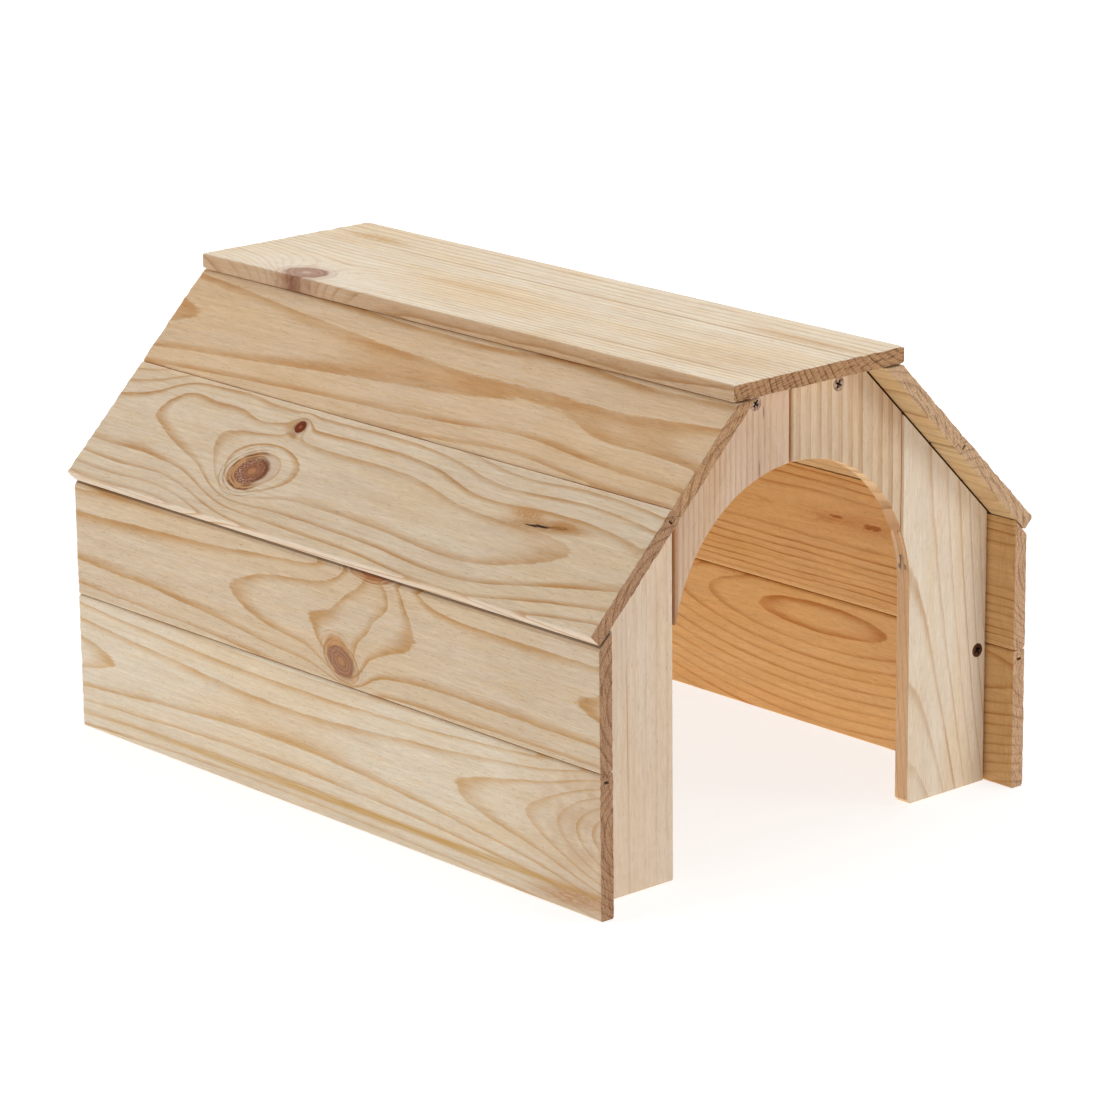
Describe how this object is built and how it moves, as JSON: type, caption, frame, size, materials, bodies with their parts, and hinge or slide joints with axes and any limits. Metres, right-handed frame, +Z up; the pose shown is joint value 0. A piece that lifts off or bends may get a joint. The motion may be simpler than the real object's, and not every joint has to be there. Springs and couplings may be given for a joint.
{
  "type": "rabbit house",
  "caption": "Hide house of bare pine tongue-and-groove boards: upright walls, sloping roof panels, a flat top, an arched doorway in the front gable and an open base.",
  "frame": {"origin": "on the floor, under the middle of the house", "axes": "+X to the right seen from the doorway, +Y from the doorway to the back, +Z up"},
  "size_m": [0.276, 0.38, 0.2261],
  "materials": {
    "wall_boards": "bare planed pine",
    "slope_boards": "bare planed pine",
    "top_board": "bare planed pine",
    "gable_boards": "bare planed pine",
    "battens": "bare sawn pine",
    "screws": "yellow passivated steel",
    "staples": "galvanised wire"
  },
  "bodies": {
    "root": {"left_wall_lower_board": "wall_boards", "left_wall_upper_board": "wall_boards", "right_wall_lower_board": "wall_boards", "right_wall_upper_board": "wall_boards", "left_slope_lower_board": "slope_boards", "left_slope_upper_board": "slope_boards", "right_slope_lower_board": "slope_boards", "right_slope_upper_board": "slope_boards", "top_board": "top_board", "front_left_leg": "gable_boards", "front_left_centre_board": "gable_boards", "front_right_centre_board": "gable_boards", "front_right_leg": "gable_boards", "back_left_board": "gable_boards", "back_left_centre_board": "gable_boards", "back_right_centre_board": "gable_boards", "back_right_board": "gable_boards", "front_left_wall_batten": "battens", "front_right_wall_batten": "battens", "back_left_wall_batten": "battens", "back_right_wall_batten": "battens", "front_left_slope_batten": "battens", "front_right_slope_batten": "battens", "back_left_slope_batten": "battens", "back_right_slope_batten": "battens", "front_top_batten": "battens", "back_top_batten": "battens", "front_gable_screws": "screws", "back_gable_screws": "screws", "front_slope_batten_screws": "screws", "back_slope_batten_screws": "screws", "left_wall_staples": "staples", "right_wall_staples": "staples", "left_slope_staples": "staples", "right_slope_staples": "staples", "top_staples": "staples"}
  },
  "joints": []
}
